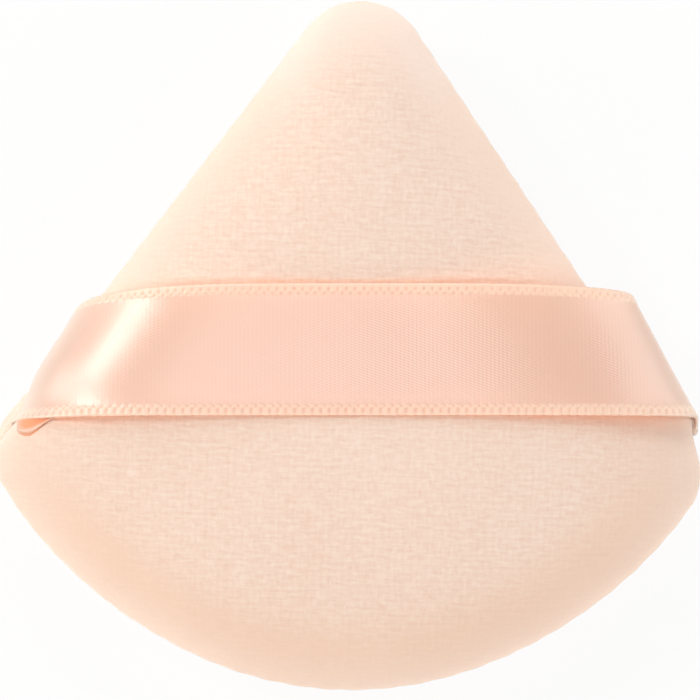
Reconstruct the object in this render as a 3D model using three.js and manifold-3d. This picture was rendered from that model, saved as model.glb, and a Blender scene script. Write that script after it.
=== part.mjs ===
// A three-cornered powder puff: two velour panels sewn together round a foam core, with a satin
// ribbon across the front whose ends are caught in the side seams.
// Millimetres, +Z up. The puff lies on its back panel, with the ribbon on top and the apex towards +Y.
// The origin is on the resting plane, under the middle of the outline.

import * as THREE from "three";
import { mergeVertices } from "three/addons/utils/BufferGeometryUtils.js";
import Module from "manifold-3d";

const wasm = await Module();
wasm.setup();

// Driving dimensions of the outline, seen from above.
const WIDTH = 82; // corner to corner
const LENGTH = 79.5; // apex to the middle of the base
const APEX_RADIUS = 7.8;
const CORNER_RADIUS = 6.4;
const CORNER_HEIGHT = 25.7; // centre of a corner's arc above the lowest point of the base

// Driving dimensions of the pad.
const FRONT_HEIGHT = 10; // crown of the front above the seam plane
const BACK_HEIGHT = 9.5; // crown of the back below the seam plane, before it is pressed flat
const REST_FLAT = 0.5; // depth by which the back is pressed flat where it rests
const CROWN_Y = -4; // where the domes are highest
const DOME_POWER = 2.6; // higher is flatter on top and fuller at the edge
const VELOUR = 1.2; // panel cloth with its pile
const FOLD_RADIUS = 0.8; // the cloth's turn into the seam
const LIP_GAP = 0.1; // between the two folds, where they close the seam
const LIP_WIDTH = 0.3;
const ALLOWANCE = 3.2; // width of cloth turned in beyond the fold
const FOAM_CLEARANCE = 0.3; // between the foam and the cloth round it

// Driving dimensions of the ribbon.
const RIBBON_WIDTH = 15;
const RIBBON_THICKNESS = 0.3;
const RIBBON_Y = -0.6; // middle of the ribbon on the puff's centre line
const RIBBON_SKEW = THREE.MathUtils.degToRad(2); // sewn a little out of level
const STRAP_GAP = 0.4; // under the ribbon, over the crown
const BEND_SHARE = 0.8; // share of the way from the middle to a side seam over which the ribbon turns down
const LEFT_BEND_POWER = 3.5; // higher is flatter over the crown and sharper at the end
const RIGHT_BEND_POWER = 2.4;
const LEFT_UPPER_STAND_OFF = 1.4; // how far an edge of the ribbon stands out from the side seam
const LEFT_LOWER_STAND_OFF = 0.4;
const RIGHT_UPPER_STAND_OFF = 3.6;
const RIGHT_LOWER_STAND_OFF = 2.3;
const END_DRIFT = 3; // how far each end is sewn down the side, past the strap's own line
const SEAM_CLEARANCE = 0.1; // between the ribbon's tail and the cloth above and below it
const SLOT_MARGIN = 0.3; // beside the ribbon, where the folds part to let it in
const STRAP_SPLIT = 0.3; // between the lifting strap and its sewn ends

// Driving dimensions of the stitching.
const THREAD = 0.3; // thread diameter
const STITCH = 3.6; // length of a machine stitch
const STITCH_HUMP = 0.12; // rise of the thread between two needle holes
const STITCH_MARGIN = 0.5; // from the thread to the fold's inside
const TURNING_GAP = 34; // stretch of the base that is left open to turn the cover, then closed by hand
const LADDER_STITCH = 3.2; // length of a hand stitch
const LADDER_REACH = 1.6; // how far the hand stitch runs into the seam
const THREAD_CLEARANCE = 0.1;

// Fineness of the facets: steps along each stretch of the outline and ribbon, and rings over a dome.
const BASE_STEPS = 9;
const CORNER_STEPS = 7;
const SIDE_STEPS = 5;
const APEX_STEPS = 8;
const DOME_RINGS = 8;
const BEND_STEPS = 9;
const TURN_STEPS = 5;
const THREAD_SIDES = 4;
const STEPS_PER_STITCH = 4;

// Heights and places that follow from them.
const SEAM_Z = BACK_HEIGHT - REST_FLAT;
const SEAM_GAP = RIBBON_THICKNESS + 2 * SEAM_CLEARANCE; // between the two turned-in edges
const FLANGE_TOP = SEAM_GAP / 2 + VELOUR; // upper face of a turned-in edge, from the seam plane
const LIP_INSET = FOLD_RADIUS + LIP_WIDTH; // inner side of the lip, in from the outline
const FLANGE_INSET = FOLD_RADIUS + ALLOWANCE; // raw edge of the cloth, in from the outline
const THREAD_LIFT = FLANGE_TOP + THREAD_CLEARANCE + THREAD / 2; // thread's middle at a needle hole
const THREAD_TOP = THREAD_LIFT + STITCH_HUMP + THREAD / 2;
const STITCH_INSET = VELOUR + STITCH_MARGIN + THREAD / 2;
const STRAP_Z = FRONT_HEIGHT + STRAP_GAP + RIBBON_THICKNESS / 2; // ribbon's middle above the seam plane

const CROWN = new THREE.Vector2(0, CROWN_Y);

// Centres of the outline's arcs. The base arc is tangent to both corner arcs.
const baseY = -LENGTH / 2;
const apexCentre = new THREE.Vector2(0, LENGTH / 2 - APEX_RADIUS);
const cornerCentre = new THREE.Vector2(WIDTH / 2 - CORNER_RADIUS, baseY + CORNER_HEIGHT);
const baseRadius =
  (cornerCentre.x ** 2 + CORNER_HEIGHT ** 2 - CORNER_RADIUS ** 2) / (2 * (CORNER_HEIGHT - CORNER_RADIUS));
const baseCentre = new THREE.Vector2(0, baseY + baseRadius);

// Right side seam: the outer tangent of the apex and corner arcs, as a normal and its distance from the origin.
function rightSide() {
  const run = cornerCentre.clone().sub(apexCentre);
  const along = run.clone().normalize();
  const lean = (APEX_RADIUS - CORNER_RADIUS) / run.length();
  const across = new THREE.Vector2(-along.y, along.x);
  const normal = across.multiplyScalar(Math.sqrt(1 - lean * lean)).addScaledVector(along, lean);
  return { normal, offset: normal.dot(apexCentre) + APEX_RADIUS };
}
const side = rightSide();
const bendReach = BEND_SHARE * side.offset;

// The outline drawn inset by a distance, counter-clockwise from the middle of the base.
function outlineCurves(inset) {
  const sideAngle = side.normal.angle();
  const cornerAngle = cornerCentre.clone().sub(baseCentre).angle() - 2 * Math.PI;
  const arc = (centre, radius, from, to) =>
    new THREE.ArcCurve(centre.x, centre.y, radius - inset, from, to, false);
  const leftCorner = new THREE.Vector2(-cornerCentre.x, cornerCentre.y);
  const ends = [cornerCentre, apexCentre, apexCentre, leftCorner];
  const radii = [CORNER_RADIUS, APEX_RADIUS, APEX_RADIUS, CORNER_RADIUS];
  const corners = ends.map((centre, i) => {
    const normal = new THREE.Vector2(i < 2 ? side.normal.x : -side.normal.x, side.normal.y);
    return centre.clone().addScaledVector(normal, radii[i] - inset);
  });
  return [
    { curve: arc(baseCentre, baseRadius, -Math.PI / 2, cornerAngle), steps: BASE_STEPS },
    { curve: arc(cornerCentre, CORNER_RADIUS, cornerAngle, sideAngle), steps: CORNER_STEPS },
    { curve: new THREE.LineCurve(corners[0], corners[1]), steps: SIDE_STEPS },
    { curve: arc(apexCentre, APEX_RADIUS, sideAngle, Math.PI - sideAngle), steps: APEX_STEPS },
    { curve: new THREE.LineCurve(corners[2], corners[3]), steps: SIDE_STEPS },
    { curve: arc(leftCorner, CORNER_RADIUS, Math.PI - sideAngle, Math.PI - cornerAngle), steps: CORNER_STEPS },
    { curve: arc(baseCentre, baseRadius, Math.PI - cornerAngle, 1.5 * Math.PI), steps: BASE_STEPS },
  ];
}

// One ring of the loft: the inset outline, drawn in towards the crown by a share and set at a height.
function ring(inset, drawnIn, z) {
  const points = outlineCurves(inset).flatMap(({ curve, steps }) => curve.getPoints(steps).slice(0, steps));
  return points.map((p) => {
    const place = p.lerp(CROWN, drawnIn);
    return new THREE.Vector3(place.x, place.y, z);
  });
}

const pole = (z) => [new THREE.Vector3(CROWN.x, CROWN.y, z)];

// Height of a dome as a share of its rise, at a share of the way in from its edge, and the reverse.
const domeShare = (t) => Math.sqrt(1 - (1 - t) ** DOME_POWER);
const domeWayIn = (share) => 1 - (1 - share * share) ** (1 / DOME_POWER);

// Rings of a dome from its top down to its edge. It rises from foot to top, and starts at low or is cut off at high.
function dome({ inset, foot, top, low = foot, high = top }) {
  const rise = top - foot;
  const start = domeWayIn((low - foot) / rise);
  const end = domeWayIn((high - foot) / rise);
  const rings = [pole(high)];
  for (let i = high < top ? DOME_RINGS : DOME_RINGS - 1; i >= 0; i--) {
    const t = start + (end - start) * (i / DOME_RINGS) ** 2;
    rings.push(ring(inset, t, foot + rise * domeShare(t)));
  }
  return rings;
}

// A closed surface through rings of points, each ring round or a single point, outer face on the ring's left.
function loft(rings) {
  const positions = [];
  const triangle = (a, b, c) => positions.push(...a.toArray(), ...b.toArray(), ...c.toArray());
  for (let i = 0; i + 1 < rings.length; i++) {
    const count = Math.max(rings[i].length, rings[i + 1].length);
    const at = (r, j) => r[j % r.length];
    for (let j = 0; j < count; j++) {
      const [a, b] = [at(rings[i], j), at(rings[i], j + 1)];
      const [d, c] = [at(rings[i + 1], j), at(rings[i + 1], j + 1)];
      if (rings[i + 1].length > 1) triangle(a, d, c);
      if (rings[i].length > 1) triangle(a, c, b);
    }
  }
  const geometry = new THREE.BufferGeometry();
  geometry.setAttribute("position", new THREE.Float32BufferAttribute(positions, 3));
  geometry.computeVertexNormals();
  return geometry;
}

// The other way up about the seam plane, with the faces still outward.
const turnedOver = (rings) => rings.map((r) => r.map((p) => new THREE.Vector3(p.x, p.y, -p.z))).reverse();

const raised = (rings) => rings.map((r) => r.map((p) => new THREE.Vector3(p.x, p.y, p.z + SEAM_Z)));

// A cover panel as rings about the seam plane: crown, edge, turned-in allowance, and back up inside.
function panelRings(height, pressed) {
  const turn = FOLD_RADIUS * (1 - Math.SQRT1_2);
  const outside = dome({ inset: 0, foot: FOLD_RADIUS, top: height, high: height - pressed });
  const inside = dome({
    inset: VELOUR,
    foot: FLANGE_TOP,
    top: height - VELOUR,
    high: height - VELOUR - pressed,
  });
  const fold = [
    ring(turn, 0, LIP_GAP / 2 + turn),
    ring(FOLD_RADIUS, 0, LIP_GAP / 2),
    ring(LIP_INSET, 0, LIP_GAP / 2),
    ring(LIP_INSET, 0, SEAM_GAP / 2),
    ring(FLANGE_INSET, 0, SEAM_GAP / 2),
    ring(FLANGE_INSET, 0, FLANGE_TOP),
  ];
  return [...outside, ...fold, ...inside.reverse()];
}

// The foam fills both domes, and a slot round its edge takes the allowances and their stitching.
function foamRings() {
  const lip = THREAD_TOP + FOAM_CLEARANCE;
  const half = (height, pressed) => {
    const top = height - VELOUR - FOAM_CLEARANCE;
    return [
      ...dome({ inset: VELOUR + FOAM_CLEARANCE, foot: FLANGE_TOP, top, low: lip, high: top - pressed }),
      ring(FLANGE_INSET + FOAM_CLEARANCE, 0, lip),
    ];
  };
  return [...half(FRONT_HEIGHT, 0), ...turnedOver(half(BACK_HEIGHT, REST_FLAT))];
}

// One end of the ribbon: its share of the strap, the sewn end, and the slot that the end needs in the seam.
// sign is 1 on the right and -1 on the left.
function ribbonEnd(sign, bendPower, upperStandOff, lowerStandOff) {
  const normal = new THREE.Vector2(sign * side.normal.x, side.normal.y);
  const down = new THREE.Vector2(sign * side.normal.y, -side.normal.x);
  const length = new THREE.Vector2(Math.cos(RIBBON_SKEW), Math.sin(RIBBON_SKEW));
  const breadth = new THREE.Vector2(-length.y, length.x);

  // A four-cornered section across the ribbon. The profile gives, for an edge's stand-off, how far the section
  // reaches along the side's normal, its height, and which way (out, up) its outer face looks.
  const section = (profile, drift, halfWidth = RIBBON_WIDTH / 2, halfThickness = RIBBON_THICKNESS / 2) => {
    const corner = (edge, face) => {
      const { reach, z, out, up } = profile(edge > 0 ? upperStandOff : lowerStandOff);
      const middle = new THREE.Vector2(0, RIBBON_Y).addScaledVector(breadth, edge * halfWidth);
      const s = (reach - normal.dot(middle)) / normal.dot(length);
      const place = middle.addScaledVector(length, s).addScaledVector(down, drift);
      place.addScaledVector(normal, face * halfThickness * out);
      return new THREE.Vector3(place.x, place.y, SEAM_Z + z + face * halfThickness * up);
    };
    return [corner(-1, 1), corner(1, 1), corner(1, -1), corner(-1, -1)];
  };

  // Flattened quarter oval down from the strap, ending a little above the sewn end.
  const bend = (share) => (standOff) => {
    const drop = STRAP_Z - standOff;
    const angle = share * Math.acos(STRAP_SPLIT / drop);
    const power = 2 / bendPower;
    const reach = side.offset + standOff - bendReach * (1 - Math.sin(angle) ** power);
    const facing = new THREE.Vector2(drop * Math.sin(angle) ** (2 - power), bendReach * power * Math.cos(angle));
    facing.normalize();
    return { reach, z: standOff + drop * Math.cos(angle), out: facing.x, up: facing.y };
  };

  // Quarter turn in to the seam.
  const turn = (share) => (standOff) => {
    const angle = (share * Math.PI) / 2;
    const reach = side.offset + standOff * Math.cos(angle);
    return { reach, z: standOff * (1 - Math.sin(angle)), out: Math.cos(angle), up: -Math.sin(angle) };
  };

  // Flat between the allowances, at a distance in from the outline.
  const tail = (inset) => () => ({ reach: side.offset - inset, z: 0, out: 0, up: -1 });

  const drift = (i) => END_DRIFT * (i / (BEND_STEPS + TURN_STEPS)) ** 2;
  const count = (n) => [...Array(n + 1).keys()];
  const slotWidth = RIBBON_WIDTH / 2 + SLOT_MARGIN;
  return {
    strap: count(BEND_STEPS).map((i) => section(bend(i / BEND_STEPS), drift(i))),
    sewn: [
      ...count(TURN_STEPS).map((i) => section(turn(i / TURN_STEPS), drift(BEND_STEPS + i))),
      section(tail(FLANGE_INSET), END_DRIFT),
    ],
    slot: [-FOLD_RADIUS, FLANGE_INSET].map((inset) => section(tail(inset), END_DRIFT, slotWidth, SEAM_GAP / 2)),
  };
}

// A strip lofted through four-point sections, closed at both ends.
function strip(sections) {
  const cap = (section) => [section.reduce((sum, p) => sum.add(p), new THREE.Vector3()).divideScalar(4)];
  return loft([cap(sections[0]), ...sections, cap(sections.at(-1))]);
}

// A geometry with others cut out of it.
function cut(geometry, tools) {
  const solid = ({ attributes }) => {
    const bare = new THREE.BufferGeometry().setAttribute("position", attributes.position);
    const merged = mergeVertices(bare);
    return new wasm.Manifold(
      new wasm.Mesh({ numProp: 3, vertProperties: merged.attributes.position.array, triVerts: merged.index.array }),
    );
  };
  const mesh = tools.reduce((body, tool) => body.subtract(solid(tool)), solid(geometry)).getMesh();
  const result = new THREE.BufferGeometry();
  result.setAttribute("position", new THREE.BufferAttribute(mesh.vertProperties, 3));
  result.setIndex(new THREE.BufferAttribute(mesh.triVerts, 1));
  result.computeVertexNormals();
  return result;
}

// A row of machine stitches along the seam, as a line that humps up between needle holes.
class StitchRow extends THREE.Curve {
  constructor(inset, from, to, height) {
    super();
    this.path = new THREE.CurvePath();
    outlineCurves(inset).forEach(({ curve }) => this.path.add(curve));
    Object.assign(this, { from, to, height });
    this.stitches = Math.round((this.path.getLength() * (to - from)) / STITCH);
  }
  getPoint(t, target = new THREE.Vector3()) {
    const p = this.path.getPoint(this.from + (this.to - this.from) * t);
    const hump = STITCH_HUMP * Math.sin(Math.PI * t * this.stitches) ** 2;
    return target.set(p.x, p.y, SEAM_Z + Math.sign(this.height) * (Math.abs(this.height) + hump));
  }
}

// The hand-sewn closing: a thread that goes in and out between the two folds along the turning gap.
class LadderRow extends THREE.Curve {
  constructor(from, to) {
    super();
    const inset = STITCH_INSET + LADDER_REACH / 2;
    this.path = new THREE.CurvePath();
    outlineCurves(inset).forEach(({ curve }) => this.path.add(curve));
    Object.assign(this, { from, to });
    this.stitches = Math.round((this.path.getLength() * (to - from)) / LADDER_STITCH);
  }
  getPoint(t, target = new THREE.Vector3()) {
    const u = this.from + (this.to - this.from) * t;
    const p = this.path.getPoint(((u % 1) + 1) % 1);
    const inward = baseCentre.clone().sub(p).normalize();
    p.addScaledVector(inward, (LADDER_REACH / 2) * Math.sin(2 * Math.PI * t * this.stitches));
    return target.set(p.x, p.y, SEAM_Z);
  }
}

// A thread of round section along a row of stitches.
function thread(row) {
  const middle = new THREE.Vector2();
  const corners = Array.from({ length: THREAD_SIDES }, (_, i) =>
    new THREE.Vector2(THREAD / 2, 0).rotateAround(middle, (2 * Math.PI * i) / THREAD_SIDES),
  );
  const steps = row.stitches * STEPS_PER_STITCH;
  row.arcLengthDivisions = steps;
  return new THREE.ExtrudeGeometry(new THREE.Shape(corners), { steps, extrudePath: row, bevelEnabled: false });
}

// Materials.
const cloth = (color, roughness) => new THREE.MeshStandardMaterial({ color, roughness, metalness: 0 });
const velour = cloth(0xf8dcc9, 0.95);
const satin = cloth(0xf7d2be, 0.38);
const foam = cloth(0xfaf3e6, 0.9);
const cotton = cloth(0xf3cfb8, 0.7);

const puff = new THREE.Group();
function add(name, geometry, material) {
  const mesh = new THREE.Mesh(geometry, material);
  mesh.name = name;
  puff.add(mesh);
}

const left = ribbonEnd(-1, LEFT_BEND_POWER, LEFT_UPPER_STAND_OFF, LEFT_LOWER_STAND_OFF);
const right = ribbonEnd(1, RIGHT_BEND_POWER, RIGHT_UPPER_STAND_OFF, RIGHT_LOWER_STAND_OFF);
const slots = [strip(left.slot.toReversed()), strip(right.slot)];

// The cover's two panels are alike but for the back's flat, and part at the slots to let the ribbon in.
add("front_panel", cut(loft(raised(panelRings(FRONT_HEIGHT, 0))), slots), velour);
add("back_panel", cut(loft(raised(turnedOver(panelRings(BACK_HEIGHT, REST_FLAT)))), slots), velour);
add("foam_core", loft(raised(foamRings())), foam);

// The ribbon is one length of satin. The strap that lifts and its two sewn ends are separate solids.
add("ribbon_strap", strip([...left.strap.toReversed(), ...right.strap]), satin);
add("left_ribbon_end", strip(left.sewn.toReversed()), satin);
add("right_ribbon_end", strip(right.sewn), satin);

// The machine seam starts and stops at the turning gap in the middle of the base.
const seamLength = outlineCurves(STITCH_INSET).reduce((sum, { curve }) => sum + curve.getLength(), 0);
const gapShare = TURNING_GAP / 2 / seamLength;
add("needle_thread", thread(new StitchRow(STITCH_INSET, gapShare, 1 - gapShare, THREAD_LIFT)), cotton);
add("bobbin_thread", thread(new StitchRow(STITCH_INSET, gapShare, 1 - gapShare, -THREAD_LIFT)), cotton);
add("closing_thread", thread(new LadderRow(-gapShare, gapShare)), cotton);

export default puff;
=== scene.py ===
"""Three-cornered velour powder puff with a satin ribbon across its front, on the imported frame."""

import math

import bpy
import numpy as np
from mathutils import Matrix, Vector
from mathutils.bvhtree import BVHTree


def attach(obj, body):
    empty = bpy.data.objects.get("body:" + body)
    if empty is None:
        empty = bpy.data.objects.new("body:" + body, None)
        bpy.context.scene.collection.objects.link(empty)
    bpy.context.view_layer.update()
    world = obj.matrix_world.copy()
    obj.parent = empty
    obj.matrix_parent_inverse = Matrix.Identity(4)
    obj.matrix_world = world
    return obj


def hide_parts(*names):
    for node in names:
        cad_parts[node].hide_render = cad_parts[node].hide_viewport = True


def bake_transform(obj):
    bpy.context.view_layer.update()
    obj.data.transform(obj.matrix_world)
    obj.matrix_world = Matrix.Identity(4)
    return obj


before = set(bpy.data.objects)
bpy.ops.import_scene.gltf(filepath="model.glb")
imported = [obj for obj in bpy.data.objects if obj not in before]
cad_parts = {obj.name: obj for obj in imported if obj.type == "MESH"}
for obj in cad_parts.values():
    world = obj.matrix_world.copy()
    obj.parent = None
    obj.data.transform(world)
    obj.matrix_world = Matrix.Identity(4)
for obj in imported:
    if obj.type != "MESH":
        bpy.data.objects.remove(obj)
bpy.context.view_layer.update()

# Millimetres throughout, as in the part's source. Meshes are made in metres. A pair of numbers is where a
# smooth change starts and ends, if nothing else is said.
MM = 0.001

# Outline, seen from above.
WIDTH = 82.0
LENGTH = 79.5
APEX_RADIUS = 7.8
CORNER_RADIUS = 6.4
CORNER_HEIGHT = 25.7

# Pad.
FRONT_HEIGHT = 10.0
BACK_HEIGHT = 9.5
REST_FLAT = 0.5
SEAM_Z = BACK_HEIGHT - REST_FLAT
CROWN = np.array([0.0, -4.0])
DOME_POWER = 2.6
LOWER_FULLER = 0.8
LOWER_FROM = (0.3, 0.9)
VELOUR = 1.2

# Seam: each panel folds in to a lip, with a tuck at each stitch, and runs on as an allowance.
FOLD_RADIUS = 0.8
LIP_GAP = 0.1
LIP_WIDTH = 0.3
LIP_STEP = 0.05
LIP_CLEARANCE = 0.06
LIP_CLOSING = (-1.3, -0.2)
ALLOWANCE = 3.2
STITCH = 3.6
STITCH_TUCK = 0.07

# Seam, where it leaves the plain outline: drawn in by the ribbon's left end, full below its right end,
# and in a soft wave along the base.
LEFT_DRAW = 1.1
LEFT_DRAW_AT = 9.6
LEFT_DRAW_WIDTH = 4.2
LEFT_BACK_FULL = 0.75
RIGHT_FULL = 2.2
RIGHT_FULL_AT = 9.3
RIGHT_FULL_WIDTH = 3.1
NEAR_SEAM = 8.0
BASE_PLAY = 0.34
BASE_WAVE = 1.3
BASE_RISE = 6.0
CORNER_FADE = 6

# Powers by which a change at the rim fades inwards. The higher it is, the closer to the rim it stays.
PLAY_FADE = 6
RELIEF_FADE = 8
TUCK_FADE = 10
FULL_FADE = 12
DRAW_FADE = 25
BACK_DRAW_FADE = 250

# Relief of the velour: lumps of the filling, streaks of nap, and the lie of the ribbon.
LUMP = 0.13
LUMP_SIZE = 15
SMALL_LUMP = 0.06
SMALL_LUMP_SIZE = 6
STREAK = 0.010
STREAK_WIDTH = 0.75
LEVEL_STREAK = 2.6
UPRIGHT_STREAK = 2.2
PRESSED = 0.10
PRESSED_EDGE = (5.5, 8.0)
SWELL_AT = 9.0
SWELL_ABOVE = 0.10
SWELL_ABOVE_WIDTH = 1.8
SWELL_BELOW = 0.14
SWELL_BELOW_WIDTH = 2.6
RIDGE = 0.13
RIDGE_AT = 8.15
RIDGE_WIDTH = 0.5
RIDGE_LENGTH = 6

# Where the pile changes, and where shade along the lower rim and a highlight at the apex are painted on it:
# shares of the way from the crown to the rim, and sines of the bearing down or up.
SMOOTH_RIM = (0.76, 0.95)
LOWER_SHADE_AT = 0.87
LOWER_SHADE_WIDTH = 0.09
LOWER_SHADE_DOWN = (0, 0.6)
APEX_HIGHLIGHT_UP = (0.9, 0.99)

# Ribbon. Of values by end, -1 is the left one and 1 the right one, and a pair is for the upper and the lower
# edge. A size of noise is given along and across the ribbon.
RIBBON_WIDTH = 15.0
RIBBON_THICKNESS = 0.3
RIBBON_Y = -0.6
RIBBON_SKEW = math.radians(2)
STRAP_GAP = 0.4
STRAP_Z = FRONT_HEIGHT + STRAP_GAP + RIBBON_THICKNESS / 2
BEND_SHARE = 0.8
BEND_POWERS = {-1: 3.5, 1: 2.4}
STAND_OFFS = {-1: (1.15, 0.15), 1: (3.6, 2.2)}
END_DRIFTS = {-1: 1.6, 1: 3.0}
SHOULDER_DRIFTS = {-1: 4.4, 1: 1.0}
SHOULDER_FROM = (0.2, 1.0)
DRIFTS_AT_BEND = {-1: (0.76, 0.9), 1: (0.64, 0.4)}
DRIFT_CHANGE = (-0.6, 0.6)
SEAM_PLAY = 0.2
SEAM_GAP = RIBBON_THICKNESS + SEAM_PLAY
FLANGE_TOP = SEAM_GAP / 2 + VELOUR
FLANGE_INSET = FOLD_RADIUS + ALLOWANCE
WAVE = 0.10
WAVE_SIZE = (17, 9)
RIPPLE = 0.05
RIPPLE_SIZE = (7, 6)
WAVE_FROM = (2, 10)
# Heights, from full to none, of the sewn ends, which let less light through and carry a painted highlight.
SEWN_AND_HIGHLIGHT_TO = (1.5, 7.5)

# Woven edges of the ribbon. Places are distances from its edge. The sway and the holes' share are shares of
# the pitch.
SELVEDGE = 1.35
SELVEDGE_PITCH = 0.98
SELVEDGE_SWAY = 0.12
SELVEDGE_SWAY_SIZE = (1.9, 9)
SELVEDGE_RIM = 0.12
SELVEDGE_BLEND = 0.3
SELVEDGE_RAISED = 0.06
HOLE_DEPTH = 0.13
HOLE_SHARE = 0.17
SLIT_STARTS = (0.12, 0.28)
SLIT_ENDS = (0.68, 0.92)
DOT_AT = 0.6
DOT_WIDTH = 0.2
EYE_AT = 1.1
EYE_WIDTH = 0.18
ROUNDED = 0.05
ROUNDED_WIDTH = 0.1
SCALLOP = 0.06
SCALLOP_WIDTH = 0.4
UNDERSIDE_RELIEF = 0.6

# The ribbon's lower left corner, folded under and showing below its edge, with an orange glow of light
# through it painted on, paler along a streak and towards its end. Places on it are shares of the way down or
# along it.
FOLD_HANG = 2.0
FOLD_REACH = 4.4
FOLD_END = 1.2
FOLD_TUCKED = 0.25
FOLD_SINK = 0.15
FOLD_LIFT = 0.4
FOLD_DROP = 0.4
FOLD_FALL = 2.0
FOLD_RIDGE = 0.12
FOLD_RIDGE_AT = 0.66
FOLD_RIDGE_WIDTH = 0.10
FOLD_GROOVE = 0.28
FOLD_GROOVE_AT = 0.84
FOLD_GROOVE_WIDTH = 0.045
FOLD_OPENS = (-0.1, 0.55)
FOLD_CLOSING = 0.25
FOLD_CLOSES = (0.6, 1)
FOLD_HEM = (1.0, 0.86)
FOLD_SIDE = (1.0, 0.9)
FOLD_PALE = 0.8
FOLD_PALE_AT = 0.68
FOLD_PALE_WIDTH = 0.14
FOLD_PALE_END = 0.9
FOLD_PALE_END_FROM = (0.65, 1.0)
FOLD_HALF = 0.05

# Nap of the velour. Noise is in bumps per millimetre of cloth.
NAP_PITCH = 0.85
NAP_LEVEL = 0.58
NAP_SWAY = 1.2
NAP_SWAY_NOISE = 0.8
COURSE = 0.18
COURSE_NOISE = 1.6
COURSE_STRETCH = 0.45
COURSE_PATCHES = (0.38, 0.62)
DASH = 1.3
LEVEL_DASHES = {"long": 0.55, "short": 2.9, "weight": 1.15}
UPRIGHT_DASHES = {"long": 0.9, "short": 2.6, "weight": 0.76}
NAP_LAID = 0.7
BROAD_NOISE = 0.06
BROAD_SHARE = 0.5
FIBRE_NOISE = 6.0
FIBRE_SHARE = 0.12
FIBRE_BUMP = 0.5
# Shares of the painted shade along the lower rim and of the painted highlight at the apex.
LOWER_SHADE_SHARE = 0.4
APEX_HIGHLIGHT_SHARE = 0.32

# Weave of the satin, and the shares of light that it lets through.
TWILL = 0.45
TWILL_PITCH = 0.31
TWILL_SLANT = 0.35
WEFT = 0.40
WEFT_PITCH = 0.47
WEAVE_LEAST = 0.35
WEAVE_PATCHES = (0.6, 0.9, 1)
WEAVE_RANGE = (-0.8, 0.8)
SATIN_ROUGHNESS = 0.38
SELVEDGE_ROUGHER = 0.1
FOLD_ROUGHER = 0.5
# Share of the painted highlight on the sewn ends.
END_HIGHLIGHT_SHARE = 0.6
SATIN_SHEER = 0.26
UNDERSIDE_SHEER = 0.88
SELVEDGE_SHEER = 0.12
SEWN_DENSER = 0.7

# Fineness of the meshes.
ARC_POINTS = 400
FRONT_CELLS = 360
BACK_CELLS = 240
CLOTH_STEPS = 41
TURN_STEPS = 8
INNER_RINGS = (0.0, 0.004, 0.016, 0.04, 0.08, 0.14, 0.24, 0.4, 0.65)
RING_STRETCH = 0.02
RIBBON_STEP = 0.14
END_STEPS = 120
STRAP_STEPS = 200
SELVEDGE_COLUMNS = 12
SATIN_COLUMNS = 20
FOLD_EDGE_STEPS = 240
FOLD_COLUMNS = 32
FOLD_ROWS = 24

# Noise that moves points.
NOISE_CELLS = 256
SEEDS = {
    "lump": 3,
    "small_lump": 5,
    "level_streak": 7,
    "upright_streak": 11,
    "ridge": 13,
    "wave": 21,
    "ripple": 23,
    "selvedge": 27,
}


def smooth_step(start, end, x):
    """0 up to the start, 1 from the end on, and smooth between them. The end may come first."""
    t = np.clip((x - start) / (end - start), 0, 1)
    return t * t * (3 - 2 * t)


def bell(x, middle, width):
    """1 at the middle, falling smoothly to 0 over a few widths."""
    return np.exp(-(((x - middle) / width) ** 2))


def soft_noise(x, y, seed):
    """Soft noise from -1 to 1 over the plane, about one bump per unit, the same on every run."""
    lattice = np.random.default_rng(seed).uniform(-1, 1, (NOISE_CELLS, NOISE_CELLS))
    column, row = np.floor(x).astype(int), np.floor(y).astype(int)
    across, up = smooth_step(0, 1, x - column), smooth_step(0, 1, y - row)

    def at(i, j):
        return lattice[(column + i) % NOISE_CELLS, (row + j) % NOISE_CELLS]

    low = at(0, 0) * (1 - across) + at(1, 0) * across
    high = at(0, 1) * (1 - across) + at(1, 1) * across
    return low * (1 - up) + high * up


def grid_normals(points):
    """Unit normals of a grid of points, by the right-hand rule from its first axis to its second."""
    normals = np.cross(np.gradient(points, axis=0), np.gradient(points, axis=1))
    return normals / np.maximum(np.linalg.norm(normals, axis=-1, keepdims=True), 1e-12)


def grid_faces(index):
    """Faces between the points of a grid, from the grid of the points' numbers."""
    corners = [index[:-1, :-1], index[1:, :-1], index[1:, 1:], index[:-1, 1:]]
    return np.stack(corners, -1).reshape(-1, 4)


def closed_sheet(surface, normals, upper_half, lower_half):
    """Points and faces of a thin closed sheet, from its middle surface and half its thickness each way."""
    rows, columns = surface.shape[:2]
    upper = np.arange(rows * columns).reshape(rows, columns)
    lower = upper + rows * columns

    def wall(a, b):
        return np.stack([a[:-1], b[:-1], b[1:], a[1:]], 1)

    faces = np.concatenate([
        grid_faces(upper),
        grid_faces(lower)[:, ::-1],
        wall(upper[:, 0], lower[:, 0]),
        wall(lower[:, -1], upper[:, -1]),
        wall(lower[0], upper[0]),
        wall(upper[-1], lower[-1]),
    ])
    top = surface + normals * upper_half[..., None]
    under = surface - normals * lower_half[..., None]
    return np.concatenate([top.reshape(-1, 3), under.reshape(-1, 3)]), faces.tolist()


def mesh_piece(name, points, faces, *materials):
    """A smooth-shaded mesh object from points in millimetres about the seam plane."""
    mesh = bpy.data.meshes.new(name)
    mesh.from_pydata(((points + [0, 0, SEAM_Z]) * MM).tolist(), [], faces)
    mesh.polygons.foreach_set("use_smooth", np.ones(len(mesh.polygons), bool))
    for material in materials:
        mesh.materials.append(material)
    mesh.update()
    piece = bpy.data.objects.new(name, mesh)
    bpy.context.collection.objects.link(piece)
    return piece


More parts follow.
